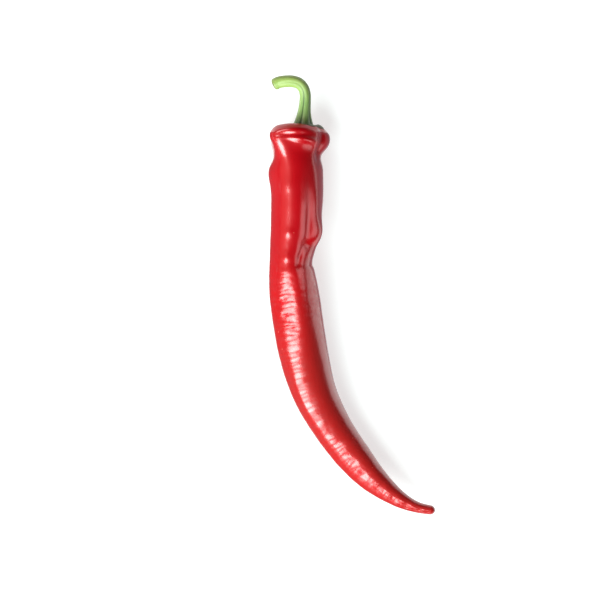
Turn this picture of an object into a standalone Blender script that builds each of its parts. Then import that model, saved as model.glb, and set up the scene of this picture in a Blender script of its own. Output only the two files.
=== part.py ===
"""A long red chilli pepper lying on its side: the fruit, and the hooked green stem with its calyx.

Metres, +Z up. The pepper lies along Y with its stem end towards +Y, on a table at Z = 0. The origin is on
the table under the middle of the whole pepper. Angles round the fruit and the stem start at +X and pass
through up.
"""

import math
from collections import namedtuple

import bmesh
import bpy
import numpy as np
from mathutils import Vector
from mathutils.bvhtree import BVHTree

MM = 0.001

# Stations along the fruit's middle line, from the shoulder to the tip: x, y, radius, and the gap between its
# underside and the table, in millimetres. Where the gap is negative the skin is pressed flat, and the pepper
# rests there.
FRUIT_STATIONS_MM = (
    (-19.5, 61.3, 9.55, 0.1),
    (-19.4, 55.5, 10.3, -0.8),
    (-19.8, 50.2, 9.5, 0.5),
    (-20.0, 44.6, 9.5, 0.9),
    (-19.9, 33.8, 9.4, 1.5),
    (-20.6, 23.0, 8.85, 2.6),
    (-21.8, 12.2, 7.95, 4.2),
    (-21.5, 6.7, 8.5, 3.3),
    (-20.4, -4.0, 9.2, 0.6),
    (-17.7, -20.1, 9.0, -0.6),
    (-13.3, -35.8, 8.0, 0.2),
    (-7.0, -47.8, 7.1, -0.4),
    (0.9, -58.7, 6.35, 1.0),
    (8.0, -66.6, 5.0, 3.4),
    (16.2, -73.0, 3.2, 6.0),
    (23.1, -76.3, 2.05, 7.6),
    (29.9, -77.7, 1.6, 8.2),
)
SHOULDER_HEIGHT = 4.2 * MM
SHOULDER_SQUARENESS = 7.5
SHOULDER_TILT = 0.03
TIP_ROUNDING = 1.8 * MM

# The calyx sits in a dimple of the shoulder. The fruit's lobes, one for each of its inner chambers, rise in
# crests round it, and run down the body as low ridges that fade and turn towards the tip.
DIMPLE_DEPTH = 3.4 * MM
DIMPLE_RADIUS = 5.5 * MM
LOBES = 3
LOBE_ANGLE = math.radians(105)
LOBE_SHARE = 0.035
LOBE_FADE = 110 * MM
LOBE_TURN = math.radians(60)
CREST_HEIGHT = 0.45 * MM
CREST_RADIUS = 7.5 * MM
CREST_WIDTH = 1.8 * MM

# Swellings (positive height) and dents (negative height) of the skin. Distances from the shoulder, reaches
# along and heights are in millimetres, angles and reaches round the fruit in degrees, slants in degrees per
# millimetre.
Swelling = namedtuple("Swelling", "along angle reach spread slant height")
SWELLINGS = (
    Swelling(1.2, 0, 2.0, 24, 0, -0.6),
    Swelling(1.6, 180, 2.4, 24, 0, -0.7),
    Swelling(5.5, 0, 3.6, 20, 0, 1.1),
    Swelling(10.6, 0, 3.4, 26, 0, -1.1),
    Swelling(7.0, 30, 5.5, 7, 0.6, -1.3),
    Swelling(2.4, 105, 2.0, 26, 0, 1.3),
    Swelling(4.6, 100, 1.0, 23, -4, -0.2),
    Swelling(6.0, 78, 1.4, 22, -14, 0.7),
    Swelling(9.2, 84, 2.6, 24, -3, -0.2),
    Swelling(5.0, 205, 5.5, 12, 0, -0.8),
    Swelling(6.0, 300, 6.0, 16, 0, -0.9),
    Swelling(12.6, 176, 3.0, 18, 0, -1.2),
    Swelling(4.6, 138, 5.6, 16, -2, 1.9),
    Swelling(8.0, 128, 5.0, 13, -2, 0.9),
    Swelling(16.8, 174, 5.0, 26, 0, 0.9),
    Swelling(35.0, 57, 11.0, 7, -0.4, -0.55),
    Swelling(31.0, 40, 10.0, 11, 0, 0.35),
    Swelling(38.5, 20, 5.0, 17, 0, 1.7),
    Swelling(39.0, 350, 6.0, 13, 0, -0.8),
    Swelling(43.2, 38, 1.7, 19, 0, -0.5),
    Swelling(47.5, 68, 4.5, 5, 1, -0.5),
    Swelling(49.5, 50, 4.0, 11, 0, 0.2),
    Swelling(50.0, 6, 6.0, 22, 0, -0.4),
    Swelling(66.0, 76, 14.0, 16, 0, 0.8),
    Swelling(70.0, 101, 12.0, 18, 0, -0.2),
    Swelling(102.0, 124, 20.0, 14, 0, 0.7),
    Swelling(128.0, 106, 18.0, 24, 0, -0.6),
    Swelling(26.0, 232, 13.0, 20, 0, -0.7),
    Swelling(40.0, 310, 9.0, 22, 0, -0.8),
    Swelling(72.0, 200, 11.0, 20, 0.4, -0.5),
    Swelling(84.0, 322, 13.0, 18, 0, -0.45),
    Swelling(104.0, 215, 8.0, 22, 0, -0.4),
    Swelling(121.0, 330, 8.0, 20, 0, -0.35),
)
FRUIT_SIDES = 36
SHOULDER_RINGS = 13
BODY_RINGS = 77
TIP_RINGS = 5

# The stalk's middle line from the calyx to the cut end: x, y, z, radius, in millimetres. Ribs run along it,
# and each of them ends in a tooth of the calyx.
STALK_STATIONS_MM = (
    (-17.6, 61.0, 10.7, 3.7),
    (-17.5, 62.4, 10.8, 3.15),
    (-17.35, 64.2, 11.0, 2.65),
    (-17.15, 66.4, 11.3, 2.25),
    (-16.9, 69.4, 11.7, 2.05),
    (-16.9, 72.0, 12.1, 2.0),
    (-17.6, 74.1, 12.5, 2.0),
    (-19.2, 75.7, 12.8, 2.03),
    (-21.6, 76.4, 12.7, 2.1),
    (-24.3, 76.4, 12.3, 2.12),
    (-26.3, 76.1, 11.9, 2.12),
    (-27.6, 75.5, 11.7, 2.1),
)
RIBS = 5
RIB_ANGLE = math.radians(-4)
RIB_SHARE = 0.15
RIB_FADE = 0.6
RIB_BLUNTNESS = 0.4
RIB_MIDDLE = 0.7
CALYX_RADIUS = 5.6 * MM
CALYX_TOOTH_SHARE = 0.13
CALYX_LEAN_SHARE = 0.25
CALYX_THICKNESS = 0.5 * MM
CALYX_RIM = 0.5
CALYX_UNDER_SHARES = (0.1, 0.35, 0.55, 0.75, 0.9, 1.0)
CALYX_TOP_SHARES = (0.97, 0.88, 0.76, 0.65)
DROP_HEIGHT = 20 * MM
CLEARANCE = 0.3 * MM
STEM_SIDES = 30
STALK_RINGS = 24
CUT_RINGS = 4
CUT_ROUNDNESS = 0.6
CUT_DOME = 0.9 * MM


def clear_scene():
    for obj in list(bpy.data.objects):
        bpy.data.objects.remove(obj, do_unlink=True)


def skin_material(name, colour, roughness):
    material = bpy.data.materials.new(name)
    material.use_nodes = True
    shader = material.node_tree.nodes["Principled BSDF"]
    shader.inputs["Base Color"].default_value = (*colour, 1.0)
    shader.inputs["Roughness"].default_value = roughness
    shader.inputs["Metallic"].default_value = 0.0
    return material


def smooth_path(stations_mm, steps=24):
    """A smooth curve through the stations (Catmull-Rom), and the distance along it at each of its points."""
    rows = np.array(stations_mm) * MM
    rows = np.vstack((2 * rows[0] - rows[1], rows, 2 * rows[-1] - rows[-2]))
    t = np.linspace(0, 1, steps, endpoint=False)[:, None]
    spans = [
        b + ((c - a) * t + (2 * a - 5 * b + 4 * c - d) * t**2 + (3 * b - a - 3 * c + d) * t**3) / 2
        for a, b, c, d in zip(rows, rows[1:], rows[2:], rows[3:])
    ]
    path = np.vstack((*spans, rows[-2]))
    along = np.concatenate(([0], np.cumsum(np.linalg.norm(np.diff(path[:, :3], axis=0), axis=1))))
    return path, along


def read_path(path, along, distances):
    return np.stack([np.interp(distances, along, column) for column in path.T], axis=1)


def unit(vectors):
    return vectors / np.linalg.norm(vectors, axis=-1, keepdims=True)


def swelling_height(distance, angle):
    """How far the swellings and dents lift the skin, at a distance from the shoulder and an angle round."""
    height = 0
    for swelling in SWELLINGS:
        off = distance / MM - swelling.along
        turn = angle - np.radians(swelling.angle + swelling.slant * off)
        lengthways = np.exp(-((off / swelling.reach) ** 2))
        crossways = np.exp((np.cos(turn) - 1) / math.radians(swelling.spread) ** 2)
        height = height + swelling.height * MM * lengthways * crossways
    return height


def ring_mesh(name, rings, first, last, material):
    """A closed skin over rings of equal count, with a point closing each end."""
    mesh = bmesh.new()
    loops = [[mesh.verts.new(point) for point in ring] for ring in rings]
    poles = (mesh.verts.new(first), mesh.verts.new(last))
    count = len(loops[0])
    for loop, following in zip(loops, loops[1:]):
        for i in range(count):
            j = (i + 1) % count
            mesh.faces.new((loop[i], loop[j], following[j], following[i]))
    for pole, loop in zip(poles, (loops[0], loops[-1])):
        for i in range(count):
            mesh.faces.new((pole, loop[i], loop[(i + 1) % count]))
    bmesh.ops.recalc_face_normals(mesh, faces=mesh.faces)
    data = bpy.data.meshes.new(name)
    mesh.to_mesh(data)
    mesh.free()
    data.shade_smooth()
    data.materials.append(material)
    obj = bpy.data.objects.new(name, data)
    bpy.context.scene.collection.objects.link(obj)
    return obj


def fruit_profile(length):
    """Each ring's distance from the shoulder and share of the full radius, for the cap, body and tip."""
    shoulder = np.linspace(0, math.pi / 2, SHOULDER_RINGS + 1)[1:]
    tip = np.linspace(0, math.pi / 2, TIP_RINGS + 1)[1:-1]
    tip_start = length - TIP_ROUNDING
    distances = (
        SHOULDER_HEIGHT * (1 - np.cos(shoulder)),
        np.linspace(SHOULDER_HEIGHT, tip_start, BODY_RINGS + 1)[1:],
        tip_start + TIP_ROUNDING * np.sin(tip),
    )
    shares = (np.sin(shoulder) ** (2 / SHOULDER_SQUARENESS), np.ones(BODY_RINGS), np.cos(tip))
    return np.concatenate(distances), np.concatenate(shares)


def build_fruit():
    path, along = smooth_path(FRUIT_STATIONS_MM)
    length = along[-1]
    distances, shares = fruit_profile(length)
    x, y, radius, gap = read_path(path, along, distances).T
    level = np.zeros(len(x))
    centres = np.stack((x, y, radius + gap), axis=1)
    ahead = unit(np.gradient(np.stack((x, y, level), axis=1), axis=0))
    right = np.stack((-ahead[:, 1], ahead[:, 0], level), axis=1)
    up = np.array((0, 0, 1))
    angle = np.linspace(0, 2 * math.pi, FRUIT_SIDES, endpoint=False)
    distance = distances[:, None]
    lobes = np.cos(LOBES * (angle - LOBE_ANGLE) + LOBE_TURN * distance / length)
    ridges = LOBE_SHARE * np.exp(-distance / LOBE_FADE) * lobes
    reach = shares[:, None] * (radius[:, None] * (1 + ridges) + swelling_height(distance, angle))
    dimple = DIMPLE_DEPTH * np.exp(-((reach / DIMPLE_RADIUS) ** 2))
    crests = CREST_HEIGHT * np.exp(-(((reach - CREST_RADIUS) / CREST_WIDTH) ** 2)) * (1 + lobes) / 2
    tilt = SHOULDER_TILT * reach * np.cos(angle)
    sunk = (dimple - crests + tilt) * np.maximum(1 - distance / SHOULDER_HEIGHT, 0)
    points = (
        centres[:, None]
        + (reach * np.cos(angle))[..., None] * right[:, None]
        + (reach * np.sin(angle))[..., None] * up
        + sunk[..., None] * ahead[:, None]
    )
    points[..., 2] = np.maximum(points[..., 2], 0)
    dimple_point = centres[0] + DIMPLE_DEPTH * ahead[0]
    tip_point = centres[-1] + (length - distances[-1]) * ahead[-1]
    red = skin_material("chilli_skin", (0.60, 0.004, 0.012), 0.18)
    return ring_mesh("fruit", points, dimple_point, tip_point, red)


def calyx_ring(surface, share, lift, angles):
    """A ring of the calyx at a share of its toothed outline, dropped along -Y to just above the shoulder."""
    middle_x, middle_y, middle_z, _ = np.array(STALK_STATIONS_MM[0]) * MM
    turn = angles - RIB_ANGLE
    outline = 1 + CALYX_TOOTH_SHARE * np.cos(RIBS * turn) + CALYX_LEAN_SHARE * np.cos(turn)
    reach = share * CALYX_RADIUS * outline
    x = middle_x + reach * np.cos(angles)
    z = middle_z + reach * np.sin(angles)
    drop = Vector((0, -1, 0))
    y = [surface.ray_cast(Vector((px, middle_y + DROP_HEIGHT, pz)), drop)[0].y for px, pz in zip(x, z)]
    return np.stack((x, np.array(y) + CLEARANCE + lift, z), axis=1)


def build_stem(fruit):
    """The calyx's underside from its middle out, its top back in, then the stalk to its cut end, as one."""
    surface = BVHTree.FromObject(fruit, bpy.context.evaluated_depsgraph_get())
    angles = np.linspace(0, 2 * math.pi, STEM_SIDES, endpoint=False)
    under = [calyx_ring(surface, share, 0, angles) for share in CALYX_UNDER_SHARES]
    top = [
        calyx_ring(surface, share, CALYX_THICKNESS * (1 - CALYX_RIM * share**4), angles)
        for share in CALYX_TOP_SHARES
    ]
    path, along = smooth_path(STALK_STATIONS_MM)
    x, y, z, radius = read_path(path, along, np.linspace(0, along[-1], STALK_RINGS)).T
    centres = np.stack((x, y, z), axis=1)
    ahead = unit(np.gradient(centres, axis=0))
    right = unit(np.cross(ahead, (0, 0, 1)))
    up = np.cross(right, ahead)
    ribs = ((np.cos(RIBS * (angles - RIB_ANGLE)) + 1) / 2) ** RIB_BLUNTNESS - RIB_MIDDLE
    fade = np.linspace(1, 1 - RIB_FADE, STALK_RINGS)[:, None]
    reach = radius[:, None] * (1 + RIB_SHARE * fade * ribs)
    stalk = (
        centres[:, None]
        + (reach * np.cos(angles))[..., None] * right[:, None]
        + (reach * np.sin(angles))[..., None] * up[:, None]
    )
    turns = np.linspace(0, math.pi / 2, CUT_RINGS + 1)[1:-1]
    cut = [
        centres[-1]
        + math.cos(turn) ** CUT_ROUNDNESS * (stalk[-1] - centres[-1])
        + CUT_DOME * math.sin(turn) * ahead[-1]
        for turn in turns
    ]
    under_point = under[0].mean(axis=0)
    cut_point = centres[-1] + CUT_DOME * ahead[-1]
    green = skin_material("green_stem", (0.30, 0.46, 0.08), 0.45)
    return ring_mesh("stem", (*under, *top, *stalk, *cut), under_point, cut_point, green)


clear_scene()
build_stem(build_fruit())
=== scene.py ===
"""A long red chilli pepper on a white studio table: the glossy, wrinkled fruit and its hooked stem.

The frame is in metres, with +Z up and the table at Z = 0. The pepper lies along Y, its stem towards +Y.
"""

import math

import bpy
import numpy as np
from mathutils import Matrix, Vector


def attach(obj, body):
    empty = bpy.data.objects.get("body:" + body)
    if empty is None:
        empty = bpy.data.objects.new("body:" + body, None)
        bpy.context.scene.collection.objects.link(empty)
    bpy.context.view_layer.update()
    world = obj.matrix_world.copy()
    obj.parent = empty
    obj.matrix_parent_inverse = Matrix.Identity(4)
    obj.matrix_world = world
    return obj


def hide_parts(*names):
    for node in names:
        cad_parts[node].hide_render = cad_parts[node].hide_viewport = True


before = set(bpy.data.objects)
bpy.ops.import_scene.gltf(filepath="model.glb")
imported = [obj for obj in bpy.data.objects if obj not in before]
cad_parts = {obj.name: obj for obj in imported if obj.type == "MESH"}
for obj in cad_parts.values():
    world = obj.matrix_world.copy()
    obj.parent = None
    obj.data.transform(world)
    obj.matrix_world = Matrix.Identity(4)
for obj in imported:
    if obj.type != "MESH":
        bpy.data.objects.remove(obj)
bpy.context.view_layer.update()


# The fruit is one hollow berry with a thick, waxy red skin, grown in a long curve from a lobed shoulder to
# a thin blunt tip. It softened a little after picking, so its skin lies in fine cross wrinkles. It is grown
# here ring by ring along its middle line, by the same rule and sizes as the solid that it stands for.

MM = 0.001

# Stations along the middle line, from shoulder to tip, in millimetres: x, y, radius, and the gap between
# skin and table.
FRUIT_STATIONS_MM = (
    (-19.5, 61.3, 9.55, 0.1),
    (-19.4, 55.5, 10.3, -0.8),
    (-19.8, 50.2, 9.5, 0.5),
    (-20.0, 44.6, 9.5, 0.9),
    (-19.9, 33.8, 9.4, 1.5),
    (-20.6, 23.0, 8.85, 2.6),
    (-21.8, 12.2, 7.95, 4.2),
    (-21.5, 6.7, 8.5, 3.3),
    (-20.4, -4.0, 9.2, 0.6),
    (-17.7, -20.1, 9.0, -0.6),
    (-13.3, -35.8, 8.0, 0.2),
    (-7.0, -47.8, 7.1, -0.4),
    (0.9, -58.7, 6.35, 1.0),
    (8.0, -66.6, 5.0, 3.4),
    (16.2, -73.0, 3.2, 6.0),
    (23.1, -76.3, 2.05, 7.6),
    (29.9, -77.7, 1.6, 8.2),
)

# Swellings and dents of the skin: distance from the shoulder (mm), angle round the fruit (degrees), reach
# along (mm), reach round (degrees), slant (degrees per mm), height (mm).
SWELLINGS = (
    (1.2, 0, 2.0, 24, 0, -0.6),
    (1.6, 180, 2.4, 24, 0, -0.7),
    (5.5, 0, 3.6, 20, 0, 1.1),
    (10.6, 0, 3.4, 26, 0, -1.1),
    (7.0, 30, 5.5, 7, 0.6, -1.3),
    (2.4, 105, 2.0, 26, 0, 1.3),
    (4.6, 100, 1.0, 23, -4, -0.2),
    (6.0, 78, 1.4, 22, -14, 0.7),
    (9.2, 84, 2.6, 24, -3, -0.2),
    (5.0, 205, 5.5, 12, 0, -0.8),
    (6.0, 300, 6.0, 16, 0, -0.9),
    (12.6, 176, 3.0, 18, 0, -1.2),
    (4.6, 138, 5.6, 16, -2, 1.9),
    (8.0, 128, 5.0, 13, -2, 0.9),
    (16.8, 174, 5.0, 26, 0, 0.9),
    (35.0, 57, 11.0, 7, -0.4, -0.55),
    (31.0, 40, 10.0, 11, 0, 0.35),
    (38.5, 20, 5.0, 17, 0, 1.7),
    (39.0, 350, 6.0, 13, 0, -0.8),
    (43.2, 38, 1.7, 19, 0, -0.5),
    (47.5, 68, 4.5, 5, 1, -0.5),
    (49.5, 50, 4.0, 11, 0, 0.2),
    (50.0, 6, 6.0, 22, 0, -0.4),
    (66.0, 76, 14.0, 16, 0, 0.8),
    (70.0, 101, 12.0, 18, 0, -0.2),
    (102.0, 124, 20.0, 14, 0, 0.7),
    (128.0, 106, 18.0, 24, 0, -0.6),
    (26.0, 232, 13.0, 20, 0, -0.7),
    (40.0, 310, 9.0, 22, 0, -0.8),
    (72.0, 200, 11.0, 20, 0.4, -0.5),
    (84.0, 322, 13.0, 18, 0, -0.45),
    (104.0, 215, 8.0, 22, 0, -0.4),
    (121.0, 330, 8.0, 20, 0, -0.35),
)

# Small raised spots and folds of the skin, in the same terms.
SPOTS = (
    (22.4, 112, 2.8, 15, 0, 0.28),
    (39.6, 103, 1.6, 9, 0, 0.2),
    (48.4, 102, 1.9, 10, 0, 0.3),
    (111.0, 115, 1.3, 30, 2, -0.08),
    (120.0, 118, 1.5, 34, 2, -0.3),
    (127.8, 118, 1.3, 34, 2, -0.25),
    (133.0, 112, 1.2, 36, 2, -0.2),
    (139.5, 108, 1.2, 36, 2, -0.2),
    (145.5, 106, 1.2, 40, 2, -0.15),
    (151.0, 106, 1.2, 40, 2, -0.12),
)

# Where the skin has softened and wrinkles: distance from the shoulder (mm), reach along (mm), strength.
WRINKLED = (
    (6.0, 10.0, 0.2),
    (64.0, 15.0, 1.0),
    (97.0, 14.0, 0.14),
    (130.0, 19.0, 0.6),
    (155.0, 12.0, 0.5),
)

# The wrinkles show most on the side at this angle, and past this distance (mm) a little all round.
WRINKLED_SIDE = math.radians(118)
THIN_END_MM = 95

# Patterns are drawn on the skin unrolled to a straight tube of this radius (mm).
SKIN_RADIUS_MM = 9.0

# The pads between the creases: their length along the fruit as a share of their width round it, how far
# their edges wander, and how steep the edges are.
PAD_ASPECT = 0.13
PAD_WANDER = 0.4
PAD_EDGE = 3.6

# The relief of the wrinkles, as shares of their height: the soft swell of the skin, and the creases in it.
SWELL_SHARE = 1.7
CREASE_SHARE = 0.42


class Wire:
    """An output of a node tree. Arithmetic on it adds Math nodes, and node() adds any other kind."""

    def __init__(self, tree, socket=None):
        self.tree = tree
        self.socket = socket

    def node(self, kind, settings, values):
        """Adds a node, applies its settings, and fills or links its sockets. Gives its first output."""
        made = self.tree.nodes.new(kind)
        for name, setting in settings.items():
            setattr(made, name, setting)
        sockets = [socket for socket in made.inputs if socket.enabled]
        for key, value in values.items():
            socket = sockets[key] if isinstance(key, int) else next(s for s in sockets if s.name == key)
            if isinstance(value, Wire):
                self.tree.links.new(value.socket, socket)
            else:
                socket.default_value = value
        return Wire(self.tree, next((socket for socket in made.outputs if socket.enabled), None))

    def out(self, name):
        """Another output of the node that this one comes from."""
        return Wire(self.tree, self.socket.node.outputs[name])

    def math(self, operation, *values):
        return self.node("ShaderNodeMath", {"operation": operation}, dict(enumerate(values)))

    def __add__(self, other):
        return self.math("ADD", self, other)

    def __radd__(self, other):
        return self.math("ADD", other, self)

    def __sub__(self, other):
        return self.math("SUBTRACT", self, other)

    def __rsub__(self, other):
        return self.math("SUBTRACT", other, self)

    def __mul__(self, other):
        return self.math("MULTIPLY", self, other)

    def __rmul__(self, other):
        return self.math("MULTIPLY", other, self)

    def __truediv__(self, other):
        return self.math("DIVIDE", self, other)

    def __rtruediv__(self, other):
        return self.math("DIVIDE", other, self)

    def __pow__(self, other):
        return self.math("POWER", self, other)

    def __neg__(self):
        return self.math("MULTIPLY", self, -1)


def cos(value):
    return value.math("COSINE", value)


def sin(value):
    return value.math("SINE", value)


def exp(value):
    return value.math("EXPONENT", value)


def least(value, limit):
    return value.math("MINIMUM", value, limit)


def most(value, limit):
    return value.math("MAXIMUM", value, limit)


def clamped(value):
    return most(least(value, 1), 0)


def bump(offset):
    """1 where the offset is 0, falling smoothly towards 0 past 1 on both sides."""
    return exp(-(offset * offset))


def vector(x, y, z):
    source = next(part for part in (x, y, z) if isinstance(part, Wire))
    return source.node("ShaderNodeCombineXYZ", {}, {"X": x, "Y": y, "Z": z})


def vector_math(operation, *values):
    source = next(value for value in values if isinstance(value, Wire))
    return source.node("ShaderNodeVectorMath", {"operation": operation}, dict(enumerate(values)))


def scaled(direction, size):
    values = {"Vector": direction, "Scale": size}
    return direction.node("ShaderNodeVectorMath", {"operation": "SCALE"}, values)


def noise(place, scale, detail, seed):
    """Smooth random values from -1 to 1, with features about 1/scale across."""
    values = {"Vector": place, "W": seed, "Scale": scale, "Detail": detail}
    return place.node("ShaderNodeTexNoise", {"noise_dimensions": "4D"}, values) * 2 - 1


def smooth_path(stations_mm, steps=24):
    """A smooth curve through the stations (Catmull-Rom), in metres."""
    rows = np.array(stations_mm) * MM
    rows = np.vstack((2 * rows[0] - rows[1], rows, 2 * rows[-1] - rows[-2]))
    t = np.linspace(0, 1, steps, endpoint=False)[:, None]
    spans = [
        b + ((c - a) * t + (2 * a - 5 * b + 4 * c - d) * t**2 + (3 * b - a - 3 * c + d) * t**3) / 2
        for a, b, c, d in zip(rows, rows[1:], rows[2:], rows[3:])
    ]
    return np.vstack((*spans, rows[-2]))


def guide_line(name, points, radii):
    """A line of edges through the points that a skin is grown round, with the skin's radius at each."""
    mesh = bpy.data.meshes.new(name)
    mesh.from_pydata(points.tolist(), [(i, i + 1) for i in range(len(points) - 1)], [])
    mesh.attributes.new("girth", "FLOAT", "POINT").data.foreach_set("value", radii.astype(np.float32))
    return mesh


SOCKET_KINDS = {
    int: "NodeSocketInt",
    float: "NodeSocketFloat",
    bpy.types.Material: "NodeSocketMaterial",
    bpy.types.Object: "NodeSocketObject",
}


def shape_tree(name, sizes):
    """An empty Geometry Nodes tree that takes a guide and these sizes, and the wires that bring them in."""
    tree = bpy.data.node_groups.new(name, "GeometryNodeTree")
    tree.interface.new_socket("Guide", in_out="INPUT", socket_type="NodeSocketGeometry")
    for label, size in sizes.items():
        tree.interface.new_socket(label, in_out="INPUT", socket_type=SOCKET_KINDS[type(size)])
    tree.interface.new_socket("Mesh", in_out="OUTPUT", socket_type="NodeSocketGeometry")
    entry = tree.nodes.new("NodeGroupInput")
    return tree, {socket.name: Wire(tree, socket) for socket in entry.outputs if socket.name}


def end_tree(mesh, material):
    """Closes the poles, smooths the shading, and hands out the real mesh with its material."""
    closed = mesh.node("GeometryNodeMergeByDistance", {}, {"Geometry": mesh, "Distance": 1e-6})
    smooth = mesh.node("GeometryNodeSetShadeSmooth", {}, {"Geometry": closed})
    real = mesh.node("GeometryNodeRealizeInstances", {}, {"Geometry": smooth})
    skinned = mesh.node("GeometryNodeSetMaterial", {}, {"Geometry": real, "Material": material})
    mesh.node("NodeGroupOutput", {}, {"Mesh": skinned})


def grow(name, guide, tree, sizes):
    """Runs the tree on the guide with these sizes, and keeps the result as a plain mesh at the origin."""
    piece = bpy.data.objects.new(name, guide)
    bpy.context.scene.collection.objects.link(piece)
    modifier = piece.modifiers.new("Growth", "NODES")
    modifier.node_group = tree
    for item in tree.interface.items_tree:
        if item.name in sizes:
            modifier[item.identifier] = sizes[item.name]
    evaluated = piece.evaluated_get(bpy.context.evaluated_depsgraph_get())
    mesh = bpy.data.meshes.new_from_object(evaluated)
    piece.modifiers.remove(modifier)
    piece.data = mesh
    mesh.name = name
    return piece


def tube_of_rings(size, rings):
    """A capped cylinder to shape ring by ring, and each point's place along it, angle and radius."""
    parts = {"Vertices": size["Sides"], "Side Segments": rings, "Radius": 1.0, "Depth": rings}
    tube = rings.node("GeometryNodeMeshCylinder", {"fill_type": "TRIANGLE_FAN"}, parts)
    place = rings.node("GeometryNodeInputPosition", {}, {})
    place = place.node("ShaderNodeSeparateXYZ", {}, {"Vector": place})
    x, y, z = place.out("X"), place.out("Y"), place.out("Z")
    return tube, z, x.math("ARCTAN2", y, x), (x * x + y * y) ** 0.5


def shape_tube(tube, skin, place):
    """Moves the tube's points to their places, and keeps where they are on the unrolled skin."""
    unrolled = {"Geometry": tube, "Name": "skin", "Value": skin}
    tube = tube.node("GeometryNodeStoreNamedAttribute", {"data_type": "FLOAT_VECTOR"}, unrolled)
    return tube.node("GeometryNodeSetPosition", {}, {"Geometry": tube, "Position": place})


def sample_guide(guide, distance):
    """The guide's girth, place and direction at a distance along it."""
    line = guide.node("GeometryNodeMeshToCurve", {}, {"Mesh": guide})
    girth = guide.node("GeometryNodeInputNamedAttribute", {"data_type": "FLOAT"}, {"Name": "girth"})
    values = {"Curves": line, "Value": girth, "Length": distance}
    sample = guide.node("GeometryNodeSampleCurve", {"mode": "LENGTH"}, values)
    return sample.out("Value"), sample.out("Position"), sample.out("Tangent")


def swollen(distance_mm, angle):
    """The height of all the swellings, dents and spots at each point, in metres."""
    total = 0
    for along, turn, reach, spread, slant, height in SWELLINGS + SPOTS:
        off = distance_mm - along
        sideways = cos(angle - math.radians(turn) - off * math.radians(slant)) - 1
        falling = sideways / math.radians(spread) ** 2 - (off / reach) * (off / reach)
        total = total + exp(falling) * (height * MM)
    return total


def creases(skin, spacing, seed):
    """1 in the creases of the softened skin, falling to 0 on the pads between them."""
    warp = noise(skin, 0.25, detail=2.0, seed=seed) * PAD_WANDER
    stretched = scaled(vector_math("MULTIPLY", skin, (PAD_ASPECT, PAD_ASPECT, 1.0)), 1 / spacing)
    place = vector_math("ADD", stretched, vector(0, 0, warp))
    pads = {"Vector": place, "Scale": 1.0}
    edges = place.node("ShaderNodeTexVoronoi", {"feature": "DISTANCE_TO_EDGE"}, pads)
    return clamped(1 - edges * PAD_EDGE)


def wrinkled(skin, distance_mm, angle, height, spacing, seed):
    """The relief of the softened skin: an uneven swell, cut by creases in patches."""
    strength = sum(bump((distance_mm - along) / reach) * share for along, reach, share in WRINKLED)
    facing = exp((cos(angle - WRINKLED_SIDE) - 1) * 3.0)
    strength = strength * most(facing, clamped((distance_mm - THIN_END_MM) / 25) * 0.3)
    patches = clamped(noise(skin, 0.22, detail=2.0, seed=seed + 1.0) * 2.5 + 0.7)
    swell = noise(skin, 0.33, detail=1.0, seed=seed + 2.0)
    relief = swell * SWELL_SHARE - creases(skin, spacing, seed) * patches * CREASE_SHARE
    return relief * strength * height


fruit_sizes = {
    "Length": 0.0,
    "Shoulder Height": 4.2 * MM,
    "Shoulder Squareness": 7.5,
    "Shoulder Tilt": 0.03,
    "Tip Rounding": 1.8 * MM,
    "Dimple Depth": 3.4 * MM,
    "Dimple Radius": 5.5 * MM,
    "Lobes": 3,
    "Lobe Angle": math.radians(105),
    "Lobe Share": 0.035,
    "Lobe Fade": 110 * MM,
    "Lobe Turn": math.radians(60),
    "Crest Height": 0.45 * MM,
    "Crest Radius": 7.5 * MM,
    "Crest Width": 1.8 * MM,
    "Wrinkle Height": 0.13 * MM,
    "Wrinkle Spacing": 1.85,
    "Unevenness": 0.12 * MM,
    "Seed": 7.0,
    "Sides": 116,
    "Shoulder Rings": 34,
    "Body Rings": 780,
    "Tip Rings": 14,
}


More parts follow.
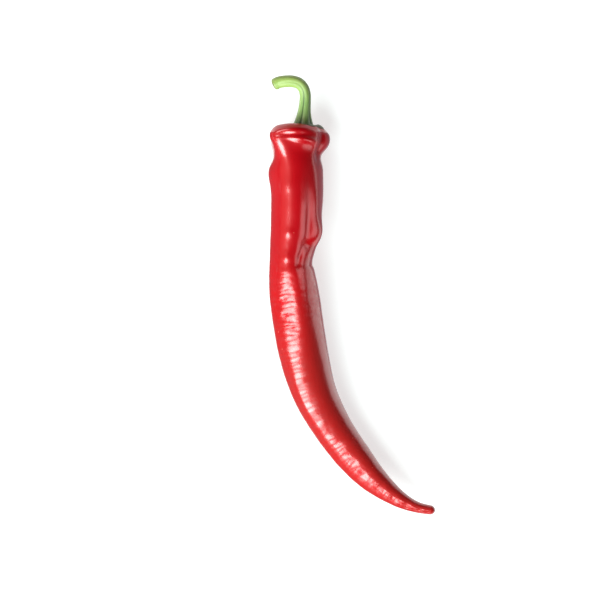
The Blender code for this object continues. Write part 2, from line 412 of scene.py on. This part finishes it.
def build_fruit_tree(sizes):
    """The rule that the fruit grows by: rings round the guide, lobed, swollen, dimpled and pressed flat."""
    tree, size = shape_tree("Fruit growth", sizes)
    guide = size["Guide"]
    rings = size["Shoulder Rings"] + size["Body Rings"] + size["Tip Rings"]
    tube, z, angle, rim = tube_of_rings(size, rings)
    ring = z + rings / 2
    shoulder_turn = least(ring / size["Shoulder Rings"], 1) * (math.pi / 2)
    body = clamped((ring - size["Shoulder Rings"]) / size["Body Rings"])
    tip_turn = most((ring - rings) / size["Tip Rings"] + 1, 0) * (math.pi / 2)
    body_length = size["Length"] - size["Shoulder Height"] - size["Tip Rounding"]
    distance = (
        size["Shoulder Height"] * (1 - cos(shoulder_turn))
        + body_length * body
        + size["Tip Rounding"] * sin(tip_turn)
    )
    share = sin(shoulder_turn) ** (2 / size["Shoulder Squareness"]) * cos(tip_turn) * rim
    distance_mm = distance / MM
    radius, centre, tangent = sample_guide(guide, distance)
    lobe_turn = size["Lobe Turn"] * distance / size["Length"]
    lobes = cos(size["Lobes"] * (angle - size["Lobe Angle"]) + lobe_turn)
    ridges = size["Lobe Share"] * exp(-(distance / size["Lobe Fade"])) * lobes
    skin = vector(cos(angle) * SKIN_RADIUS_MM, sin(angle) * SKIN_RADIUS_MM, distance_mm)
    height, spacing, seed = size["Wrinkle Height"], size["Wrinkle Spacing"], size["Seed"]
    uneven = noise(skin, 0.11, detail=2.0, seed=seed) * size["Unevenness"]
    wrinkles = wrinkled(skin, distance_mm, angle, height, spacing, seed)
    reach = share * (radius * (1 + ridges) + swollen(distance_mm, angle) + uneven + wrinkles)
    dimple = size["Dimple Depth"] * bump(reach / size["Dimple Radius"])
    crest = bump((reach - size["Crest Radius"]) / size["Crest Width"])
    crests = size["Crest Height"] * crest * (1 + lobes) / 2
    tilt = size["Shoulder Tilt"] * reach * cos(angle)
    sunk = (dimple - crests + tilt) * most(1 - distance / size["Shoulder Height"], 0)
    ahead = vector_math("NORMALIZE", vector_math("MULTIPLY", tangent, (1, 1, 0)))
    right = vector_math("CROSS_PRODUCT", (0, 0, 1), ahead)
    outward = vector_math("ADD", scaled(right, reach * cos(angle)), vector(0, 0, reach * sin(angle)))
    place = vector_math("ADD", centre, vector_math("ADD", outward, scaled(ahead, sunk)))
    above_table = vector_math("MAXIMUM", place, (-1, -1, 0))
    end_tree(shape_tube(tube, skin, above_table), size["Material"])
    return tree


def blend(share, first, second):
    """The first colour where the share is 0, and the second where it is 1."""
    return share.node("ShaderNodeMix", {"data_type": "RGBA"}, {"Factor": share, "A": first, "B": second})


def skin_material():
    """Deep red under clear wax, warmer towards the tip, with a few pale specks, and duller where soft."""
    material = bpy.data.materials.new("glossy_red_skin")
    material.use_nodes = True
    shader = material.node_tree.nodes["Principled BSDF"]
    start = Wire(material.node_tree)
    skin = start.node("ShaderNodeAttribute", {"attribute_name": "skin"}, {}).out("Vector")
    parts = skin.node("ShaderNodeSeparateXYZ", {}, {"Vector": skin})
    distance_mm = parts.out("Z")

    deep = (0.355, 0.0002, 0.004, 1.0)
    bright = (0.41, 0.001, 0.004, 1.0)
    warm = (0.335, 0.013, 0.011, 1.0)
    pale = (0.85, 0.25, 0.18, 1.0)
    mottle = noise(skin, 0.16, detail=3.0, seed=2.0)
    ripe = clamped((distance_mm - 40) / 50)
    cells = skin.node("ShaderNodeTexVoronoi", {}, {"Vector": skin, "Scale": 0.16})
    speck_size = skin.node("ShaderNodeSeparateColor", {}, {"Color": cells.out("Color")}).out("Red")
    specks = clamped((speck_size * 0.045 - cells.out("Distance")) * 60)
    colour = blend(clamped(mottle * 0.5 + 0.5), deep, bright)
    colour = blend(ripe * 0.8, colour, warm)
    colour = blend(specks * 0.8, colour, pale)
    material.node_tree.links.new(colour.socket, shader.inputs["Base Color"])

    dull = clamped((distance_mm - 104) / 14)
    soft = bump((distance_mm - 64) / 18) + dull * 0.3
    bloom = clamped(noise(skin, 0.55, detail=2.0, seed=9.0) * 1.6 + 0.45)
    lines = creases(skin, fruit_sizes["Wrinkle Spacing"], fruit_sizes["Seed"])
    wrinkled_side = clamped(0.7 - parts.out("X") / 6)
    wrinkled_part = clamped((distance_mm - 40) / 25)
    shine = 1 - soft * bloom * 0.5 - dull * 0.15 - wrinkled_part * wrinkled_side * lines * 0.7
    below_stem = clamped((distance_mm - 1.8) / 1.5 + 0.15)
    material.node_tree.links.new(clamped(shine * below_stem).socket, shader.inputs["Coat Weight"])

    grain = noise(skin, 2.2, detail=3.0, seed=5.0)
    fine = skin.node("ShaderNodeBump", {}, {"Height": grain, "Strength": 0.12, "Distance": 0.0001})
    material.node_tree.links.new(fine.socket, shader.inputs["Normal"])

    shader.inputs["Roughness"].default_value = 0.30
    shader.inputs["Specular IOR Level"].default_value = 0.9
    shader.inputs["Specular Tint"].default_value = (1.0, 0.03, 0.05, 1.0)
    shader.inputs["Coat Roughness"].default_value = 0.235
    shader.inputs["Coat IOR"].default_value = 1.78
    shader.inputs["Subsurface Weight"].default_value = 0.08
    shader.inputs["Subsurface Radius"].default_value = (0.004, 0.0008, 0.0005)
    shader.inputs["Subsurface Scale"].default_value = 1.0
    return material


fruit_path = smooth_path(FRUIT_STATIONS_MM)
fruit_line = np.column_stack((fruit_path[:, 0], fruit_path[:, 1], fruit_path[:, 2] + fruit_path[:, 3]))
fruit_sizes["Length"] = float(np.linalg.norm(np.diff(fruit_line, axis=0), axis=1).sum())
fruit_sizes["Material"] = skin_material()
fruit_guide = guide_line("fruit_guide", fruit_line, fruit_path[:, 2])
fruit = grow("chilli_fruit", fruit_guide, build_fruit_tree(fruit_sizes), fruit_sizes)
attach(fruit, "root")
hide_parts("fruit")


# The stem is the pepper's stalk and calyx, grown as one: a ribbed green stalk that hooks over at its cut
# end, and widens at its foot into a thin toothed cap that sits in the dimple of the shoulder.

# The stalk's middle line from the calyx to the cut end, in millimetres: x, y, z, radius.
STALK_STATIONS_MM = (
    (-17.6, 61.0, 10.7, 3.7),
    (-17.5, 62.4, 10.8, 3.15),
    (-17.35, 64.2, 11.0, 2.65),
    (-17.15, 66.4, 11.3, 2.25),
    (-16.9, 69.4, 11.7, 2.05),
    (-16.9, 72.0, 12.1, 2.0),
    (-17.6, 74.1, 12.5, 2.0),
    (-19.2, 75.7, 12.8, 2.03),
    (-21.6, 76.4, 12.7, 2.1),
    (-24.3, 76.4, 12.3, 2.12),
    (-26.3, 76.1, 11.9, 2.12),
    (-27.6, 75.5, 11.7, 2.1),
)

stem_sizes = {
    "Length": 0.0,
    "Ribs": 5,
    "Rib Angle": math.radians(-4),
    "Rib Share": 0.15,
    "Calyx Radius": 5.6 * MM,
    "Calyx Tooth Share": 0.13,
    "Calyx Lean Share": 0.25,
    "Calyx Thickness": 0.5 * MM,
    "Calyx Rim": 0.5,
    "Calyx Foot": 0.62,
    "Clearance": 0.05 * MM,
    "Cut Dome": 0.9 * MM,
    "Seed": 3.0,
    "Sides": 120,
    "Under Rings": 20,
    "Top Rings": 24,
    "Stalk Rings": 200,
    "Cut Rings": 10,
}


def build_stem_tree(sizes):
    """The rule that the stem grows by: the cap is laid on the shoulder, then the stalk rises from it."""
    tree, size = shape_tree("Stem growth", sizes)
    guide = size["Guide"]
    under_rings, top_rings, stalk_rings = size["Under Rings"], size["Top Rings"], size["Stalk Rings"]
    rings = under_rings + top_rings + stalk_rings + size["Cut Rings"]
    tube, z, angle, rim = tube_of_rings(size, rings)
    ring = rings / 2 - z
    under = least(ring / under_rings, 1)
    top = clamped((ring - under_rings) / top_rings)
    stalk = clamped((ring - under_rings - top_rings) / stalk_rings)
    cut = clamped((ring - rings) / size["Cut Rings"] + 1)

    turn = angle - size["Rib Angle"]
    teeth = cos(size["Ribs"] * turn)
    ribs = ((teeth + 1) / 2) ** 0.4 - 0.7
    outline = 1 + size["Calyx Tooth Share"] * teeth + size["Calyx Lean Share"] * cos(turn)
    share = (under - top * (1 - size["Calyx Foot"])) * rim
    calyx_reach = size["Calyx Radius"] * outline * share
    foot_x, foot_y, foot_z = (value * MM for value in STALK_STATIONS_MM[0][:3])
    x = foot_x + calyx_reach * cos(angle)
    z = foot_z + calyx_reach * sin(angle)
    shoulder = guide.node("GeometryNodeObjectInfo", {}, {"Object": size["Fruit"]}).out("Geometry")
    above = vector(x, foot_y + 20 * MM, z)
    ray = {"Target Geometry": shoulder, "Source Position": above, "Ray Direction": (0, -1, 0)}
    resting = guide.node("GeometryNodeRaycast", {}, ray).out("Hit Position")
    lift = size["Calyx Thickness"] * (1 - size["Calyx Rim"] * share**4) * least(top * 6, 1)
    calyx_place = vector_math("ADD", resting, vector(0, size["Clearance"] + lift, 0))

    radius, centre, tangent = sample_guide(guide, size["Length"] * stalk)
    right = vector_math("NORMALIZE", vector_math("CROSS_PRODUCT", tangent, (0, 0, 1)))
    up = vector_math("CROSS_PRODUCT", right, tangent)
    stretch = vector(cos(angle), sin(angle), stalk * 3)
    knobs = noise(stretch, 2.5, detail=3.0, seed=size["Seed"]) * (0.05 * MM)
    fade = 1 - 0.6 * stalk
    ribbed = radius * (1 + size["Rib Share"] * fade * ribs) + knobs
    reach = ribbed * cos(cut * (math.pi / 2)) ** 0.6 * rim
    outward = vector_math("ADD", scaled(right, reach * cos(angle)), scaled(up, reach * sin(angle)))
    dome = size["Cut Dome"] * sin(cut * (math.pi / 2))
    stalk_place = vector_math("ADD", centre, vector_math("ADD", outward, scaled(tangent, dome)))

    on_stalk = ring.math("GREATER_THAN", ring, under_rings + top_rings + 0.5)
    places = {"Factor": on_stalk, "A": calyx_place, "B": stalk_place}
    place = tube.node("ShaderNodeMix", {"data_type": "VECTOR"}, places)
    along_mm = on_stalk * (stalk * size["Length"] + dome) / MM - (1 - on_stalk) * share * 6
    skin = vector(cos(turn), sin(turn), along_mm)
    end_tree(shape_tube(tube, skin, place), size["Material"])
    return tree


def stem_material(length_mm):
    """Satin green, dark at the foot, with painted shade in the grooves, pale streaks along it that are
    partly painted highlight, and a brown cut end.
    """
    material = bpy.data.materials.new("ribbed_green_stem")
    material.use_nodes = True
    shader = material.node_tree.nodes["Principled BSDF"]
    start = Wire(material.node_tree)
    skin = start.node("ShaderNodeAttribute", {"attribute_name": "skin"}, {}).out("Vector")
    parts = skin.node("ShaderNodeSeparateXYZ", {}, {"Vector": skin})
    across, upright, along_mm = parts.out("X"), parts.out("Y"), parts.out("Z")
    turn = upright.math("ARCTAN2", upright, across)
    teeth = cos(turn * 5)
    streaks_and_sheen = noise(vector(across * 3.2, upright * 3.2, along_mm * 0.10), 1.0, detail=3.0, seed=4.0)

    foot = (0.085, 0.16, 0.055, 1.0)
    stalk_green = (0.19, 0.31, 0.075, 1.0)
    hook_green = (0.25, 0.34, 0.065, 1.0)
    pale = (0.40, 0.47, 0.22, 1.0)
    painted_groove_shade = (0.03, 0.055, 0.012, 1.0)
    brown = (0.10, 0.07, 0.03, 1.0)
    colour = blend(clamped(along_mm / 7 + 0.15), foot, stalk_green)
    colour = blend(clamped((along_mm - 8) / 8), colour, hook_green)
    # Pale streaks along the stalk: partly its own streaky tone, partly painted highlight.
    colour = blend(clamped(streaks_and_sheen * 1.6 + 0.1) * 0.6, colour, pale)
    # Painted shade: the grooves between the ribs are darkened near the foot and on the cap.
    colour = blend(clamped(-teeth * 6 - 4.6) * clamped((18 - along_mm) / 8) * 0.75, colour, painted_groove_shade)
    colour = blend(clamped(-streaks_and_sheen * 1.8 - 0.2) * 0.5, colour, foot)
    colour = blend(clamped((along_mm - length_mm) * 2.0) * 0.7, colour, brown)
    colour = blend(clamped(-along_mm / 2 - 1) * 0.8, colour, brown)
    material.node_tree.links.new(colour.socket, shader.inputs["Base Color"])
    fibres = noise(vector(across * 7.0, upright * 7.0, along_mm * 0.35), 1.0, detail=3.0, seed=6.0)
    raised = skin.node("ShaderNodeBump", {}, {"Height": fibres, "Strength": 0.35, "Distance": 0.0001})
    material.node_tree.links.new(raised.socket, shader.inputs["Normal"])
    shader.inputs["Roughness"].default_value = 0.45
    shader.inputs["Subsurface Weight"].default_value = 0.1
    shader.inputs["Subsurface Radius"].default_value = (0.001, 0.0015, 0.0004)
    shader.inputs["Subsurface Scale"].default_value = 1.0
    return material


stalk_path = smooth_path(STALK_STATIONS_MM)
stem_sizes["Length"] = float(np.linalg.norm(np.diff(stalk_path[:, :3], axis=0), axis=1).sum())
stem_sizes["Fruit"] = fruit
stem_sizes["Material"] = stem_material(stem_sizes["Length"] / MM)
stalk_guide = guide_line("stalk_guide", stalk_path[:, :3], stalk_path[:, 3])
stem = grow("chilli_stem", stalk_guide, build_stem_tree(stem_sizes), stem_sizes)
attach(stem, "root")
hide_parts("stem")


# The studio is a plain white table top, matt and evenly lit, with softboxes round it and two low cards
# beside the pepper for its glossy skin to reflect. The camera hangs over it and looks straight down.

def floor_material():
    material = bpy.data.materials.new("white_table")
    material.use_nodes = True
    shader = material.node_tree.nodes["Principled BSDF"]
    shader.inputs["Base Color"].default_value = (0.40, 0.40, 0.40, 1.0)
    shader.inputs["Roughness"].default_value = 0.9
    shader.inputs["Emission Color"].default_value = (1.0, 1.0, 1.0, 1.0)
    shader.inputs["Emission Strength"].default_value = 0.70
    shader.inputs["Specular IOR Level"].default_value = 0.1
    return material


TABLE_HALF = 3.0
table_mesh = bpy.data.meshes.new("table")
corners = [(x * TABLE_HALF, y * TABLE_HALF, 0) for x, y in ((-1, -1), (1, -1), (1, 1), (-1, 1))]
table_mesh.from_pydata(corners, [], [(0, 1, 2, 3)])
table_mesh.materials.append(floor_material())
table = bpy.data.objects.new("table", table_mesh)
bpy.context.scene.collection.objects.link(table)

# What the lamps are aimed at: the middle of the pepper, and the fold in its upper body.
LIT_POINT = Vector((-0.01, -0.01, 0.01))
FOLD_POINT = Vector((-0.018, 0.02, 0.018))


def soft_lamp(name, azimuth, tilt, distance, size, radiance, colour=(1.0, 1.0, 1.0), aim=LIT_POINT):
    """A softbox aimed at the pepper. Azimuth is from +X round to +Y, tilt from straight up, in degrees."""
    light = bpy.data.lights.new(name, "AREA")
    light.shape = "RECTANGLE"
    light.size, light.size_y = size
    light.energy = radiance * math.pi * light.size * light.size_y
    light.color = colour
    lamp = bpy.data.objects.new(name, light)
    across, turn = math.radians(tilt), math.radians(azimuth)
    level = math.sin(across)
    away = Vector((level * math.cos(turn), level * math.sin(turn), math.cos(across)))
    lamp.location = aim + away * distance
    lamp.rotation_euler = away.to_track_quat("Z", "Y").to_euler()
    lamp.visible_camera = False
    bpy.context.scene.collection.objects.link(lamp)


soft_lamp("key", 229, 48, 1.0, size=(1.0, 0.94), radiance=11.3, colour=(0.84, 1.0, 0.97))
soft_lamp("near", 358, 53, 0.07, size=(0.038, 0.055), radiance=1.5, aim=FOLD_POINT)
soft_lamp("wall", 165, 50, 1.1, size=(0.9, 1.1), radiance=0.65, colour=(1.0, 0.44, 0.36))
soft_lamp("rim", 128, 58, 1.0, size=(0.5, 0.35), radiance=4.0)

world = bpy.data.worlds.new("studio")
world.use_nodes = True
bpy.context.scene.world = world
sky = world.node_tree.nodes["Background"]
sky.inputs["Color"].default_value = (1.0, 1.0, 1.0, 1.0)
sky.inputs["Strength"].default_value = 0.01


def reflected_card(name, side, last, gap, height, taper, colour):
    """A low card along one side of the pepper, which shows only as what the glossy skin reflects there.

    Side is 1 for the left and -1 for the right. The card ends at point number last of the fruit's path.
    """
    line = fruit_path[:last:4]
    along = np.gradient(line[:, :2], axis=0)
    along /= np.linalg.norm(along, axis=1)[:, None]
    foot = line[:, :2] + side * np.column_stack((along[:, 1], -along[:, 0])) * (line[:, 2:3] + gap)
    count = len(foot)
    heights = height * np.clip(np.linspace(taper, 0, count), 0, 1)
    points = np.vstack((np.column_stack((foot, np.zeros(count))), np.column_stack((foot, heights))))
    mesh = bpy.data.meshes.new(name)
    faces = [(i, i + 1, count + i + 1, count + i) for i in range(count - 1)]
    mesh.from_pydata(points.tolist(), [], faces)
    paint = bpy.data.materials.new(name)
    paint.use_nodes = True
    shader = paint.node_tree.nodes["Principled BSDF"]
    shader.inputs["Base Color"].default_value = (0.0, 0.0, 0.0, 1.0)
    shader.inputs["Specular IOR Level"].default_value = 0.0
    shader.inputs["Emission Color"].default_value = (*colour, 1.0)
    shader.inputs["Emission Strength"].default_value = 1.0
    mesh.materials.append(paint)
    card = bpy.data.objects.new(name, mesh)
    card.visible_camera = False
    card.visible_diffuse = False
    card.visible_shadow = False
    card.visible_transmission = False
    bpy.context.scene.collection.objects.link(card)


reflected_card("left_card", 1, 400, gap=4 * MM, height=18 * MM, taper=9.0, colour=(0.40, 0.12, 0.13))
reflected_card("right_card", -1, 270, gap=5 * MM, height=15 * MM, taper=1.6, colour=(0.40, 0.28, 0.32))

# The camera, in metres: the point that it is over, its height, and the width that it sees at the level of
# the pepper's widest outline.
PHOTO_MIDDLE = (-0.0169, -0.0037)
CAMERA_HEIGHT = 0.75
VIEW_LEVEL = 0.009
VIEW_WIDTH = 0.2196
lens = bpy.data.cameras.new("camera")
lens.sensor_width = 36.0
lens.lens = lens.sensor_width * (CAMERA_HEIGHT - VIEW_LEVEL) / VIEW_WIDTH
camera = bpy.data.objects.new("camera", lens)
camera.location = (*PHOTO_MIDDLE, CAMERA_HEIGHT)
bpy.context.scene.collection.objects.link(camera)
bpy.context.scene.camera = camera
bpy.context.scene.view_settings.view_transform = "Standard"
